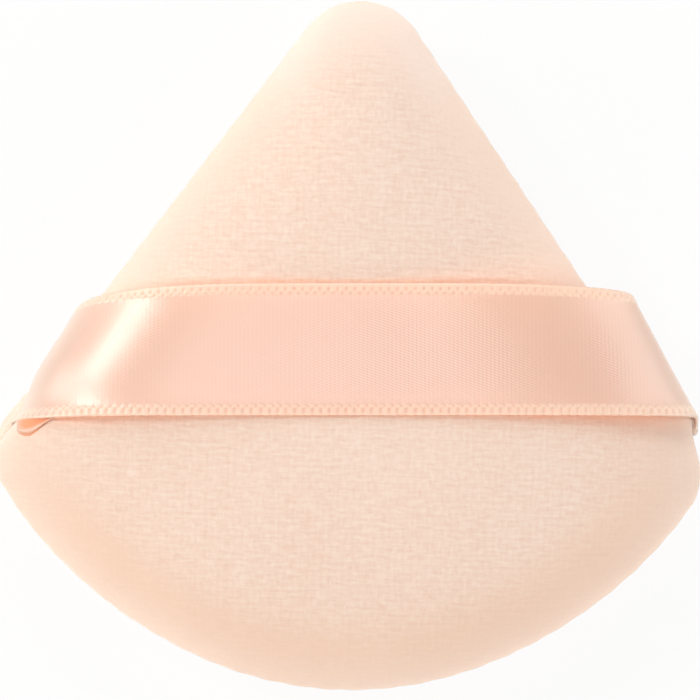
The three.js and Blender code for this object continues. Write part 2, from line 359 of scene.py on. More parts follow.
def map_uv(piece, name, uv):
    """A UV map from one pair of values for each point of the mesh."""
    corner = np.zeros(len(piece.data.loops), np.int32)
    piece.data.loops.foreach_get("vertex_index", corner)
    layer = piece.data.uv_layers.new(name=name)
    layer.data.foreach_set("uv", uv[corner].astype(np.float32).ravel())


def mark_points(piece, name, values):
    """A number for each point of the mesh, which its material reads by name."""
    attribute = piece.data.attributes.new(name, "FLOAT", "POINT")
    attribute.data.foreach_set("value", values.astype(np.float32))


# Outline of the puff

apex_centre = np.array([0, LENGTH / 2 - APEX_RADIUS])
corner_centre = np.array([WIDTH / 2 - CORNER_RADIUS, -LENGTH / 2 + CORNER_HEIGHT])
base_radius = (corner_centre[0] ** 2 + CORNER_HEIGHT**2 - CORNER_RADIUS**2) / (
    2 * (CORNER_HEIGHT - CORNER_RADIUS)
)
base_centre = np.array([0, -LENGTH / 2 + base_radius])


def right_side():
    """Normal of the right side seam and its distance from the origin."""
    run = corner_centre - apex_centre
    along = run / np.linalg.norm(run)
    lean = (APEX_RADIUS - CORNER_RADIUS) / np.linalg.norm(run)
    normal = np.array([-along[1], along[0]]) * math.sqrt(1 - lean**2) + along * lean
    return normal, normal @ apex_centre + APEX_RADIUS


side_normal, side_offset = right_side()
bend_reach = BEND_SHARE * side_offset


def outline():
    """Points round the outline and their outward normals, counter-clockwise from the base's middle."""
    side_angle = math.atan2(side_normal[1], side_normal[0])
    reach = corner_centre - base_centre
    corner_angle = math.atan2(reach[1], reach[0])
    arcs = [
        (base_centre, base_radius, -math.pi / 2, corner_angle),
        (corner_centre, CORNER_RADIUS, corner_angle, side_angle),
        (apex_centre, APEX_RADIUS, side_angle, math.pi - side_angle),
        (corner_centre * [-1, 1], CORNER_RADIUS, math.pi - side_angle, math.pi - corner_angle),
        (base_centre, base_radius, math.pi - corner_angle, 1.5 * math.pi),
    ]
    angles = [np.linspace(start, end, ARC_POINTS) for _, _, start, end in arcs]
    normals = [np.stack([np.cos(a), np.sin(a)], 1) for a in angles]
    points = [centre + radius * n for (centre, radius, _, _), n in zip(arcs, normals)]
    return np.concatenate(points), np.concatenate(normals)


outline_points, outline_normals = outline()
outline_bearing = np.unwrap(np.arctan2(*(outline_points - CROWN).T[::-1]))
outline_steps = np.linalg.norm(np.diff(outline_points, axis=0), axis=1)
outline_run = np.concatenate([[0], np.cumsum(outline_steps)])


def on_outline(bearing):
    """Point, outward normal and distance round the outline, at a bearing from the crown."""
    start = outline_bearing[0]
    turned = start + np.mod(bearing - start, 2 * math.pi)

    def read(values):
        return np.interp(turned, outline_bearing, values)

    point = np.stack([read(outline_points[:, 0]), read(outline_points[:, 1])], -1)
    normal = np.stack([read(outline_normals[:, 0]), read(outline_normals[:, 1])], -1)
    normal /= np.linalg.norm(normal, axis=-1, keepdims=True)
    return point, normal, read(outline_run)


# Seam

ribbon_along = np.array([math.cos(RIBBON_SKEW), math.sin(RIBBON_SKEW)])
ribbon_across = np.array([-ribbon_along[1], ribbon_along[0]])


def seam_axes(sign):
    """A side seam's outward normal, the way down it, and where the ribbon's middle line meets it."""
    normal = side_normal * [sign, 1]
    down = np.array([sign * side_normal[1], -side_normal[0]])
    middle = np.array([0, RIBBON_Y])
    slide = (side_offset - normal @ middle) / (normal @ ribbon_along)
    return normal, down, middle + ribbon_along * slide


def down_seam(sign, points):
    """How far points lie down a side seam from the ribbon's middle line, and which are near it."""
    normal, down, centre = seam_axes(sign)
    offset = points - centre
    return offset @ down, np.abs(offset @ normal) < NEAR_SEAM


def seam_shift(points):
    """How far the seam is drawn in, and how far it stands out, at points of the outline."""
    left, at_left = down_seam(-1, points)
    right, at_right = down_seam(1, points)
    drawn = at_left * LEFT_DRAW * bell(left, LEFT_DRAW_AT, LEFT_DRAW_WIDTH)
    full = at_right * RIGHT_FULL * bell(right, RIGHT_FULL_AT, RIGHT_FULL_WIDTH)
    return drawn, full


def base_play(points):
    """How far the base seam stands out in its middle, and in beside it."""
    out = np.abs(points[..., 0]) / (WIDTH / 2)
    below = smooth_step(0, BASE_RISE, corner_centre[1] - points[..., 1])
    wave = BASE_PLAY * np.cos(BASE_WAVE * math.pi * out)
    return wave * np.clip(1 - out**CORNER_FADE, 0, 1) * below


def half_entry(down):
    """Half of the ribbon's width along a side seam, which it meets at a slant."""
    return RIBBON_WIDTH / 2 / abs(ribbon_across @ down)


def ribbon_mask(points):
    """1 where a sewn end of the ribbon passes under the lip of the seam, and 0 beyond."""
    mask = np.zeros(len(points))
    for sign in (-1, 1):
        _, down, _ = seam_axes(sign)
        along, near = down_seam(sign, points)
        upper_end = END_DRIFTS[sign] + SHOULDER_DRIFTS[sign] - half_entry(down)
        lower_end = END_DRIFTS[sign] + half_entry(down)
        beyond = np.maximum(upper_end - along, along - lower_end)
        mask = np.maximum(mask, near * (1 - smooth_step(*LIP_CLOSING, beyond)))
    return mask


# Velour panels

def pad_relief(x, y, share, front):
    """How far velour stands out from the dome: soft filling, streaks of nap, and the ribbon's lie."""
    inner = 1 - share**RELIEF_FADE
    lumps = LUMP * soft_noise(x / LUMP_SIZE, y / LUMP_SIZE, SEEDS["lump"])
    small_lumps = SMALL_LUMP * soft_noise(x / SMALL_LUMP_SIZE, y / SMALL_LUMP_SIZE, SEEDS["small_lump"])
    level = soft_noise(x / LEVEL_STREAK, y / STREAK_WIDTH, SEEDS["level_streak"])
    upright = soft_noise(x / STREAK_WIDTH, y / UPRIGHT_STREAK, SEEDS["upright_streak"])
    relief = inner * (lumps + small_lumps) + STREAK * (level + upright)
    if front:
        v = x * ribbon_across[0] + (y - RIBBON_Y) * ribbon_across[1]
        pressed = -PRESSED * (1 - smooth_step(*PRESSED_EDGE, np.abs(v)))
        uneven = 0.5 + 0.5 * soft_noise(x / RIDGE_LENGTH, 0 * y, SEEDS["ridge"])
        ridge = RIDGE * uneven * bell(v, RIDGE_AT, RIDGE_WIDTH)
        above = SWELL_ABOVE * bell(v, SWELL_AT, SWELL_ABOVE_WIDTH) + ridge
        below = SWELL_BELOW * bell(v, -SWELL_AT, SWELL_BELOW_WIDTH)
        relief = relief + inner * (pressed + above + below)
    return relief


def disc_grid(cells):
    """Bearing and share of the way out for a square grid of points that is drawn out to a disc."""
    line = np.linspace(-1, 1, cells + 1)
    u, v = np.meshgrid(line, line, indexing="ij")
    wide = np.abs(u) > np.abs(v)
    radius = np.where(wide, u, v)
    ratio = np.divide(np.where(wide, v, u), radius, out=np.zeros_like(u), where=radius != 0)
    bearing = np.where(wide, math.pi / 4 * ratio, math.pi / 2 - math.pi / 4 * ratio)
    bearing = bearing + np.where(radius < 0, math.pi, 0)
    return bearing, np.sin(math.pi / 2 * np.abs(radius))


def panel_edge(bearing, share, front):
    """The panel's edge at each bearing, as it acts on points this far out, and its outward normal."""
    edge, normal, run = on_outline(bearing)
    tuck = STITCH_TUCK * (0.5 + 0.5 * np.cos(2 * math.pi * run / STITCH))
    drawn, full = seam_shift(edge)
    out = full * share**FULL_FADE + base_play(edge) * share**PLAY_FADE - tuck * share**TUCK_FADE
    if front:
        out = out - drawn * share**DRAW_FADE
    else:
        swollen = drawn / LEFT_DRAW * LEFT_BACK_FULL * share**FULL_FADE
        out = out - drawn * share**BACK_DRAW_FADE + swollen
    return edge + normal * out[..., None], normal


def seam_rings(edge, normal, height, pressed):
    """Rings of points from a panel's rim: round the fold, along the allowance and up the inner face."""
    parted = ribbon_mask(edge)
    lip = LIP_GAP / 2 + (SEAM_GAP / 2 + LIP_CLEARANCE - LIP_GAP / 2) * parted

    def ring(inset, level):
        at = edge - normal * inset
        return np.concatenate([at, np.broadcast_to(level, len(at))[:, None]], 1)

    rings = []
    for angle in np.linspace(0, math.pi / 2, TURN_STEPS)[1:]:
        level = FOLD_RADIUS - (FOLD_RADIUS - lip) * math.sin(angle)
        rings.append(ring(FOLD_RADIUS * (1 - math.cos(angle)), level))
    rings.append(ring(FOLD_RADIUS + LIP_WIDTH, lip))
    rings.append(ring(FOLD_RADIUS + LIP_WIDTH + LIP_STEP, np.maximum(lip, SEAM_GAP / 2)))
    rings.append(ring(FLANGE_INSET, SEAM_GAP / 2 + LIP_CLEARANCE * parted))
    rings.append(ring(FLANGE_INSET, FLANGE_TOP))
    inner_top = height - VELOUR - pressed
    inner_edge = edge - normal * VELOUR
    for way_in in INNER_RINGS:
        rise = math.sqrt(1 - (1 - way_in) ** DOME_POWER)
        level = FLANGE_TOP + (height - VELOUR - FLANGE_TOP) * rise
        at = inner_edge + (CROWN - inner_edge) * way_in
        rings.append(np.concatenate([at, np.full((len(at), 1), min(level, inner_top))], 1))
    return rings, np.array([[*CROWN, inner_top]])


def velour_panel(name, cells, height, pressed, front, material):
    """A closed panel of velour: dome, fold at the seam, allowance turned in, and inner face."""
    bearing, share = disc_grid(cells)
    edge, normal = panel_edge(bearing, share, front)
    place = CROWN + (edge - CROWN) * share[..., None]
    power = DOME_POWER + LOWER_FULLER * smooth_step(*LOWER_FROM, -np.sin(bearing))
    z = FOLD_RADIUS + (height - FOLD_RADIUS) * np.sqrt(np.clip(1 - share**power, 0, 1))
    dome = np.concatenate([place, z[..., None]], -1)
    relief = pad_relief(place[..., 0], place[..., 1], share, front)
    dome = dome + grid_normals(dome) * relief[..., None]
    if pressed:
        dome[..., 2] = np.minimum(dome[..., 2], height - pressed)

    steps = np.linspace(0, 1, CLOTH_STEPS)[:, None, None] * share
    rise = (height - FOLD_RADIUS) * np.sqrt(np.clip(1 - steps**power, 0, 1))
    reach = np.linalg.norm(edge - CROWN, axis=-1)
    arc = np.hypot(np.diff(steps, axis=0) * reach, np.diff(rise, axis=0)).sum(0)
    cloth = (edge - CROWN) / reach[..., None] * arc[..., None]

    index = np.arange((cells + 1) ** 2).reshape(cells + 1, cells + 1)
    rim = np.concatenate([index[:-1, 0], index[-1, :-1], index[:0:-1, -1], index[0, :0:-1]])
    rings, pole = seam_rings(edge.reshape(-1, 2)[rim], normal.reshape(-1, 2)[rim], height, pressed)
    count = len(rim)
    loops = [rim] + [index.size + count * i + np.arange(count) for i in range(len(rings))]
    bands = []
    for outer, inner in zip(loops, loops[1:]):
        bands.append(np.stack([outer, inner, np.roll(inner, -1), np.roll(outer, -1)], 1))
    pole_index = np.full(count, index.size + count * len(rings))
    cap = np.stack([loops[-1], pole_index, np.roll(loops[-1], -1)], 1)
    points = np.concatenate([dome.reshape(-1, 3), *rings, pole])
    faces = grid_faces(index).tolist() + np.concatenate(bands).tolist() + cap.tolist()
    if not front:
        points = points * [1, 1, -1]
        faces = [face[::-1] for face in faces]
    piece = mesh_piece(name, points, faces, material)

    stretch = 1 + RING_STRETCH * np.arange(1, len(rings) + 1)
    ring_cloth = [cloth.reshape(-1, 2)[rim] * k for k in stretch]
    map_uv(piece, "cloth", np.concatenate([cloth.reshape(-1, 2), *ring_cloth, np.zeros((1, 2))]))
    # Marks for the pile: where its nap is laid smooth, where shade is painted along the lower rim, and where
    # a highlight is painted at the apex.
    smooth = smooth_step(*SMOOTH_RIM, share)
    lower_shade = bell(share, LOWER_SHADE_AT, LOWER_SHADE_WIDTH) * smooth_step(*LOWER_SHADE_DOWN, -np.sin(bearing))
    apex_highlight = smooth * smooth_step(*APEX_HIGHLIGHT_UP, np.sin(bearing))
    beyond_rim = np.zeros(len(points) - index.size)
    for label, values in (("painted_lower_shade", lower_shade), ("smooth_pile", smooth), ("painted_apex_highlight", apex_highlight)):
        mark_points(piece, label, np.concatenate([values.ravel(), beyond_rim]))
    return piece


# Ribbon

def ribbon_end(sign, across, steps):
    """Middle surface of one end of the ribbon, from the strap out to the tail in the seam."""
    upper, lower = STAND_OFFS[sign]
    normal, down, centre = seam_axes(sign)
    stand_off = lower + (upper - lower) * (across + 1) / 2
    drift = END_DRIFTS[sign] + SHOULDER_DRIFTS[sign] * smooth_step(*SHOULDER_FROM, across)
    entry = drift - across * half_entry(down)
    drawn, full = seam_shift(centre + np.outer(entry, down))
    end = side_offset + stand_off - drawn
    seam = side_offset + full - drawn
    share = np.linspace(0, 1, steps)[:, None]
    angle = share * math.pi / 2
    bend = end - bend_reach * (1 - np.sin(angle) ** (2 / BEND_POWERS[sign]))
    bend_z = stand_off + (STRAP_Z - stand_off) * np.cos(angle)
    turn = seam + (end - seam) * np.cos(angle)
    turn_z = stand_off * (1 - np.sin(angle))
    tail = seam - FLANGE_INSET * share
    reach = np.concatenate([bend, turn[1:], tail[1:]])
    z = np.concatenate([bend_z, turn_z[1:], 0 * tail[1:]])
    upper_share, lower_share = DRIFTS_AT_BEND[sign]
    at_bend = lower_share + (upper_share - lower_share) * smooth_step(*DRIFT_CHANGE, across)
    bent = at_bend * share
    turned = at_bend + (1 - at_bend) * share[1:]
    progress = np.concatenate([bent, turned, np.ones_like(turned)])
    middle = np.array([0, RIBBON_Y]) + np.outer(across * RIBBON_WIDTH / 2, ribbon_across)
    slide = (reach - middle @ normal) / (normal @ ribbon_along)
    place = middle + slide[..., None] * ribbon_along
    place = place + (drift * progress**2)[..., None] * down
    return np.concatenate([place, z[..., None]], -1)


def ribbon_columns():
    """Places across the ribbon, from -1 to 1, closer together in its woven edges."""
    band = 2 * SELVEDGE / RIBBON_WIDTH
    edge = np.linspace(-1, -1 + band, SELVEDGE_COLUMNS + 1)
    satin = np.linspace(-1 + band, 1 - band, SATIN_COLUMNS + 1)
    return np.concatenate([edge, satin[1:], -edge[-2::-1]])


def ribbon_surface(across):
    """Middle surface of the ribbon in even steps, how far along it each point is, and its lengths."""
    left = ribbon_end(-1, across, END_STEPS)
    right = ribbon_end(1, across, END_STEPS)
    flat = left[0] + (right[0] - left[0]) * np.linspace(0, 1, STRAP_STEPS)[1:-1, None, None]
    rough = np.concatenate([left[::-1], flat, right])
    steps = np.linalg.norm(np.diff(rough, axis=0), axis=2)
    runs = np.concatenate([np.zeros((1, len(across))), np.cumsum(steps, 0)])
    count = int(runs[-1].max() / RIBBON_STEP) + 1
    surface = np.zeros((count, len(across), 3))
    along = np.zeros((count, len(across)))
    for c in range(len(across)):
        stations = np.linspace(0, runs[-1, c], count)
        for k in range(3):
            surface[:, c, k] = np.interp(stations, runs[:, c], rough[:, c, k])
        along[:, c] = stations - np.interp(0, rough[:, c, :2] @ ribbon_along, runs[:, c])
    return surface, along, runs[-1]


def woven_edges(along, width):
    """Over a ribbon: how far each point is a hole, is woven edge, is raised, and is scalloped out."""
    from_edge = RIBBON_WIDTH / 2 - np.abs(width)
    sway_length, sway_width = SELVEDGE_SWAY_SIZE
    sway = SELVEDGE_SWAY * soft_noise(along / sway_length, width / sway_width, SEEDS["selvedge"])
    phase = np.mod(along / SELVEDGE_PITCH + sway, 1)
    notch = bell(phase, 0.5, HOLE_SHARE)
    eye = bell(np.minimum(phase, 1 - phase), 0, HOLE_SHARE)
    inner_edge = smooth_step(SELVEDGE - SELVEDGE_BLEND, SELVEDGE, from_edge)
    band = smooth_step(0.0, SELVEDGE_RIM, from_edge) * (1 - inner_edge)
    slits = smooth_step(*SLIT_STARTS, from_edge) * (1 - smooth_step(*SLIT_ENDS, from_edge))
    dots = bell(from_edge, DOT_AT, DOT_WIDTH)
    eyes = eye * bell(from_edge, EYE_AT, EYE_WIDTH)
    hole = np.clip(notch * np.where(width < 0, slits, dots) + eyes, 0, 1)
    rounded = ROUNDED * bell(from_edge, 0, ROUNDED_WIDTH)
    raised = band * (SELVEDGE_RAISED - HOLE_DEPTH * hole) - rounded
    at_edge = 1 - smooth_step(0.0, SCALLOP_WIDTH, from_edge)
    scallop = SCALLOP * (1 - notch) * np.sign(width) * at_edge
    return hole * band, band, raised, scallop


def satin_ribbon(name, across, surface, along, length, face, underside):
    """One closed length of ribbon with woven edges, from tail to tail."""
    normals = grid_normals(surface)
    width = np.broadcast_to(across * RIBBON_WIDTH / 2, along.shape)
    hole, band, raised, scallop = woven_edges(along, width)
    wave_length, wave_width = WAVE_SIZE
    ripple_length, ripple_width = RIPPLE_SIZE
    wave = WAVE * soft_noise(along / wave_length, width / wave_width, SEEDS["wave"])
    ripple = RIPPLE * soft_noise(along / ripple_length, width / ripple_width, SEEDS["ripple"])
    lie = smooth_step(*WAVE_FROM, surface[..., 2])
    breadth = np.gradient(surface, axis=1)
    breadth = breadth / np.linalg.norm(breadth, axis=-1, keepdims=True)
    surface = surface + normals * ((wave + ripple) * lie)[..., None] + breadth * scallop[..., None]
    half = RIBBON_THICKNESS / 2
    points, faces = closed_sheet(surface, normals, half + raised, half + UNDERSIDE_RELIEF * raised)
    piece = mesh_piece(name, points, faces, face, underside)
    face_side = np.zeros(len(faces), np.int32)
    one_side = (len(surface) - 1) * (len(across) - 1)
    face_side[one_side:2 * one_side] = 1
    piece.data.polygons.foreach_set("material_index", face_side)
    # Marks for the material: painted shade in the holes of the woven edges, and the sewn ends, which let
    # less light through and carry a painted highlight.
    sewn_and_highlight = 1 - smooth_step(*SEWN_AND_HIGHLIGHT_TO, surface[..., 2])
    for label, values in (("selvedge_hole_shade", hole), ("selvedge_band", band), ("sewn_end_and_highlight", sewn_and_highlight)):
        mark_points(piece, label, np.tile(values.ravel(), 2))
    uv = np.stack([along / length + 0.5, width / RIBBON_WIDTH + 0.5], -1).reshape(-1, 2)
    map_uv(piece, "weave", np.tile(uv, (2, 1)))
    return piece


def velour_height(panels, place):
    """Height of the topmost velour over each point of a plan, above the seam plane."""
    height = np.zeros(place.shape[:-1])
    for panel in panels:
        points = [vertex.co for vertex in panel.data.vertices]
        tree = BVHTree.FromPolygons(points, [face.vertices for face in panel.data.polygons])
        for at in np.ndindex(height.shape):
            hit, _, _, _ = tree.ray_cast((*(place[at] * MM), 1.0), (0, 0, -1))
            height[at] = max(height[at], hit.z / MM - SEAM_Z) if hit else height[at]
    return height


def ribbon_fold(name, length, panels, material):
    """The ribbon's left lower corner, folded under and showing below its edge, beside the seam."""
    normal, _, centre = seam_axes(-1)
    edge = ribbon_end(-1, np.array([-1.0]), FOLD_EDGE_STEPS)[:FOLD_EDGE_STEPS, 0]
    inset = (centre - edge[:, :2]) @ normal
    edge = edge[(inset < FOLD_REACH) & (inset > FOLD_END)]
    along = np.linspace(0, 1, FOLD_COLUMNS)
    spots = np.linspace(0, 1, len(edge))
    edge = np.stack([np.interp(along, spots, edge[:, k]) for k in range(3)], 1)
    closing = 1 - FOLD_CLOSING * smooth_step(*FOLD_CLOSES, along)
    hang = FOLD_HANG * smooth_step(*FOLD_OPENS, along) * closing
    down = np.linspace(-FOLD_TUCKED, 1, FOLD_ROWS)
    surface = np.zeros((len(down), len(along), 3))
    surface[..., :2] = edge[:, :2] - (down[:, None] * hang)[..., None] * ribbon_across
    inside = smooth_step(*FOLD_HEM, down)[:, None] * smooth_step(*FOLD_SIDE, along)
    groove = FOLD_GROOVE * bell(down, FOLD_GROOVE_AT, FOLD_GROOVE_WIDTH)[:, None]
    ridge = FOLD_RIDGE * bell(down, FOLD_RIDGE_AT, FOLD_RIDGE_WIDTH)[:, None]
    lying = velour_height(panels, surface[..., :2]) - FOLD_SINK + FOLD_LIFT * inside + ridge - groove
    hung = edge[:, 2] - FOLD_DROP - FOLD_FALL * np.clip(down, 0, 1)[:, None]
    surface[..., 2] = np.where(down[:, None] < 0, np.minimum(lying, hung), np.maximum(lying, hung))
    thin = np.full(surface.shape[:2], FOLD_HALF)
    points, faces = closed_sheet(surface, grid_normals(surface), thin, thin)
    piece = mesh_piece(name, points, faces, material)
    # Painted glow: how deep the orange painted for light through the fold is, paler along a streak and
    # towards its end.
    pale = FOLD_PALE * bell(down, FOLD_PALE_AT, FOLD_PALE_WIDTH)[:, None]
    pale_end = FOLD_PALE_END * smooth_step(*FOLD_PALE_END_FROM, along)
    painted_glow = (1 - pale) * (1 - pale_end)
    mark_points(piece, "fold_with_painted_glow", np.tile(painted_glow.ravel(), 2))
    uv = np.stack([points[:, 0] / length + 0.5, points[:, 1] / RIBBON_WIDTH + 0.5], 1)
    map_uv(piece, "weave", uv)
    return piece


# Materials

def srgb(red, green, blue):
    """Linear colour with alpha, from an sRGB colour in 0 to 255."""
    def linear(c):
        c = c / 255
        return c / 12.92 if c <= 0.04045 else ((c + 0.055) / 1.055) ** 2.4

    return (linear(red), linear(green), linear(blue), 1)


PILE_DEEP = srgb(241, 210, 192)
PILE_PALE = srgb(251, 230, 215)
PILE_FIBRE = srgb(244, 204, 182)
# Painted shade along the lower rim of the pile.
PILE_PAINTED_SHADE = srgb(243, 202, 174)
# Painted highlight at the apex of the pile.
PILE_PAINTED_HIGHLIGHT = srgb(253, 238, 230)
PILE_BLOOM = srgb(255, 245, 236)
SATIN_DEEP = srgb(229, 184, 158)
SATIN_PALE = srgb(229, 198, 172)
SATIN_SELVEDGE = srgb(250, 234, 210)
# Painted shade in the holes of the woven edges.
SATIN_HOLE_SHADE = srgb(230, 202, 174)
# Painted highlight on the sewn ends of the ribbon.
SATIN_PAINTED_HIGHLIGHT = srgb(252, 230, 212)
# Painted orange glow of light through the folded corner.
SATIN_PAINTED_GLOW = srgb(255, 160, 96)
SATIN_GLOW = srgb(255, 228, 204)
UNDERSIDE_GLOW = srgb(255, 208, 168)
FOAM_PORE = srgb(248, 214, 192)
FOAM_WALL = srgb(255, 234, 216)
THREAD_DEEP = srgb(226, 178, 152)
THREAD_PALE = srgb(246, 212, 190)


class Nodes:
    """The nodes of a material or world, with short ways to add them, link them and set their inputs."""

    def __init__(self, owner):
        owner.use_nodes = True
        self.owner = owner
        self.tree = owner.node_tree
        self.shader = self.tree.nodes.get("Principled BSDF")

    def put(self, node, inputs):
        """Set a node's inputs: a socket is linked, and a plain value is set on the input itself."""
        for key, value in inputs.items():
            if isinstance(value, bpy.types.NodeSocket):
                self.tree.links.new(value, node.inputs[key])
            else:
                node.inputs[key].default_value = value

    def add(self, kind, inputs=None, **settings):
        node = self.tree.nodes.new(kind)
        for key, value in settings.items():
            setattr(node, key, value)
        self.put(node, inputs or {})
        return node

    def math(self, operation, first, second):
        return self.add("ShaderNodeMath", {0: first, 1: second}, operation=operation).outputs[0]

    def sine(self, value, pitch):
        turns = self.math("MULTIPLY", value, 2 * math.pi / pitch)
        return self.add("ShaderNodeMath", {0: turns}, operation="SINE").outputs[0]

    def mix(self, factor, first, second):
        node = self.add("ShaderNodeMix", {0: factor, 6: first, 7: second}, data_type="RGBA")
        return node.outputs[2]

    def ramp(self, value, low, high):
        inputs = {"Value": value, "From Min": low, "From Max": high}
        return self.add("ShaderNodeMapRange", inputs).outputs[0]

    def noise(self, vector, scale, stretch=(1, 1, 1), detail=2.0):
        mapping = self.add("ShaderNodeMapping", {"Vector": vector, "Scale": stretch})
        inputs = {"Vector": mapping.outputs[0], "Scale": scale, "Detail": detail}
        return self.add("ShaderNodeTexNoise", inputs).outputs[0]

    def mark(self, name):
        """The number that mark_points gave to the mesh under this name, or 0."""
        return self.add("ShaderNodeAttribute", attribute_name=name).outputs["Fac"]

    def bump(self, height, strength, distance):
        inputs = {"Height": height, "Strength": strength, "Distance": distance}
        self.put(self.shader, {"Normal": self.add("ShaderNodeBump", inputs).outputs[0]})

    def blend_surface(self, share, other):
        """Show the main shader, and another in its place by a share."""
        inputs = {0: share, 1: self.shader.outputs[0], 2: other.outputs[0]}
        mixed = self.add("ShaderNodeMixShader", inputs)
        self.put(self.tree.nodes["Material Output"], {"Surface": mixed.outputs[0]})

    def background_rays(self):
        """1 for what the camera sees, straight, mirrored or through the object, and 0 for light on it."""
        path = self.add("ShaderNodeLightPath")
        rays = path.outputs["Is Camera Ray"]
        for kind in ("Is Glossy Ray", "Is Transmission Ray"):
            rays = self.math("MAXIMUM", rays, path.outputs[kind])
        return rays


def velour_material():
    """Short cut pile with level and upright dashes of nap and a pale bloom at grazing angles."""
    n = Nodes(bpy.data.materials.new("velour"))
    cloth = n.add("ShaderNodeUVMap", uv_map="cloth").outputs[0]
    parts = n.add("ShaderNodeSeparateXYZ", {0: cloth})
    sway = n.math("MULTIPLY", n.noise(cloth, NAP_SWAY_NOISE, detail=1.0), NAP_SWAY)

    def stretched(axis, along, across):
        return (along, across, 1) if axis else (across, along, 1)

    def courses(axis, long, short, weight):
        """Rows of pile along one way of the backing: dashes, and a faint even course under them."""
        patches = n.noise(cloth, COURSE_NOISE, stretched(axis, COURSE_STRETCH, 1))
        course = n.sine(n.math("ADD", parts.outputs[axis], sway), NAP_PITCH)
        course = n.math("MULTIPLY", course, n.ramp(patches, *COURSE_PATCHES))
        dashes = n.math("SUBTRACT", n.noise(cloth, 1.0, stretched(axis, long, short)), 0.5)
        rows = n.math("ADD", n.math("MULTIPLY", course, COURSE), n.math("MULTIPLY", dashes, DASH))
        return n.math("MULTIPLY", rows, weight)

    streaks = n.math("ADD", courses(1, **LEVEL_DASHES), courses(0, **UPRIGHT_DASHES))
    standing = n.math("SUBTRACT", 1.0, n.math("MULTIPLY", n.mark("smooth_pile"), NAP_LAID))
    nap = n.math("ADD", NAP_LEVEL, n.math("MULTIPLY", streaks, standing))
    broad = n.math("SUBTRACT", n.noise(cloth, BROAD_NOISE), 0.5)
    fibre = n.noise(cloth, FIBRE_NOISE, detail=1.0)
    shade = n.math("ADD", nap, n.math("MULTIPLY", broad, BROAD_SHARE))
    colour = n.mix(shade, PILE_DEEP, PILE_PALE)
    # Tones on the nap: random fibre tones, painted shade along the lower rim, and a painted highlight at the
    # apex.
    for place, share, tone in (
        (fibre, FIBRE_SHARE, PILE_FIBRE),
        (n.mark("painted_lower_shade"), LOWER_SHADE_SHARE, PILE_PAINTED_SHADE),
        (n.mark("painted_apex_highlight"), APEX_HIGHLIGHT_SHARE, PILE_PAINTED_HIGHLIGHT),
    ):
        colour = n.mix(n.math("MULTIPLY", place, share), colour, tone)
    n.put(n.shader, {
        "Base Color": colour,
        "Roughness": 1.0,
        "Specular IOR Level": 0.1,
        "Sheen Weight": 0.5,
        "Sheen Roughness": 0.45,
        "Sheen Tint": PILE_BLOOM,
    })
    pile = n.math("ADD", nap, n.math("MULTIPLY", fibre, FIBRE_BUMP))
    n.bump(pile, strength=0.35, distance=0.1 * MM)
    return n.owner


def satin_material(name, length, sheer, glow):
    """Warp-faced satin: a soft streak of gloss across the warp, fine slanting weave, and woven edges."""
    n = Nodes(bpy.data.materials.new(name))
    weave = n.add("ShaderNodeUVMap", uv_map="weave").outputs[0]
    parts = n.add("ShaderNodeSeparateXYZ", {0: weave})
    along = n.math("MULTIPLY", parts.outputs[0], length)
    across = n.math("MULTIPLY", parts.outputs[1], RIBBON_WIDTH)
    twill = n.sine(n.math("ADD", n.math("MULTIPLY", along, TWILL_SLANT), across), TWILL_PITCH)
    weft = n.sine(along, WEFT_PITCH)
    ribs = n.math("ADD", n.math("MULTIPLY", twill, TWILL), n.math("MULTIPLY", weft, WEFT))
    flat = n.add("ShaderNodeCombineXYZ", {0: along, 1: across}).outputs[0]
    patchy = n.math("ADD", WEAVE_LEAST, n.noise(flat, 1.0, WEAVE_PATCHES))
    height = n.math("MULTIPLY", ribs, patchy)
    band = n.mark("selvedge_band")
    sewn_and_highlight = n.mark("sewn_end_and_highlight")
    fold_with_painted_glow = n.mark("fold_with_painted_glow")
    # The weave's tones, then the woven edges, painted shade in their holes, a painted highlight on the sewn
    # ends and a painted orange glow on the fold.
    colour = n.mix(n.ramp(height, *WEAVE_RANGE), SATIN_DEEP, SATIN_PALE)
    for share, tone in (
        (band, SATIN_SELVEDGE),
        (n.mark("selvedge_hole_shade"), SATIN_HOLE_SHADE),
        (n.math("MULTIPLY", sewn_and_highlight, END_HIGHLIGHT_SHARE), SATIN_PAINTED_HIGHLIGHT),
        (fold_with_painted_glow, SATIN_PAINTED_GLOW),
    ):
        colour = n.mix(share, colour, tone)
    rough_band = n.math("MULTIPLY", band, SELVEDGE_ROUGHER)
    rougher = n.math("MAXIMUM", rough_band, n.math("MULTIPLY", fold_with_painted_glow, FOLD_ROUGHER))
    tangent = n.add("ShaderNodeTangent", direction_type="UV_MAP", uv_map="weave")
    n.put(n.shader, {
        "Base Color": colour,
        "Roughness": n.math("ADD", SATIN_ROUGHNESS, rougher),
        "IOR": 2.1,
        "Specular IOR Level": 1.0,
        "Anisotropic": 0.35,
        "Anisotropic Rotation": 0.25,
        "Sheen Weight": 0.3,
        "Tangent": tangent.outputs[0],
    })
    n.bump(height, strength=0.25, distance=0.03 * MM)
    open_weave = n.math("ADD", sheer, n.math("MULTIPLY", band, SELVEDGE_SHEER))
    single = n.math("SUBTRACT", 1.0, n.math("MULTIPLY", sewn_and_highlight, SEWN_DENSER))
    through = n.add("ShaderNodeBsdfTranslucent", {"Color": glow})
    n.blend_surface(n.math("MULTIPLY", open_weave, single), through)
    return n.owner


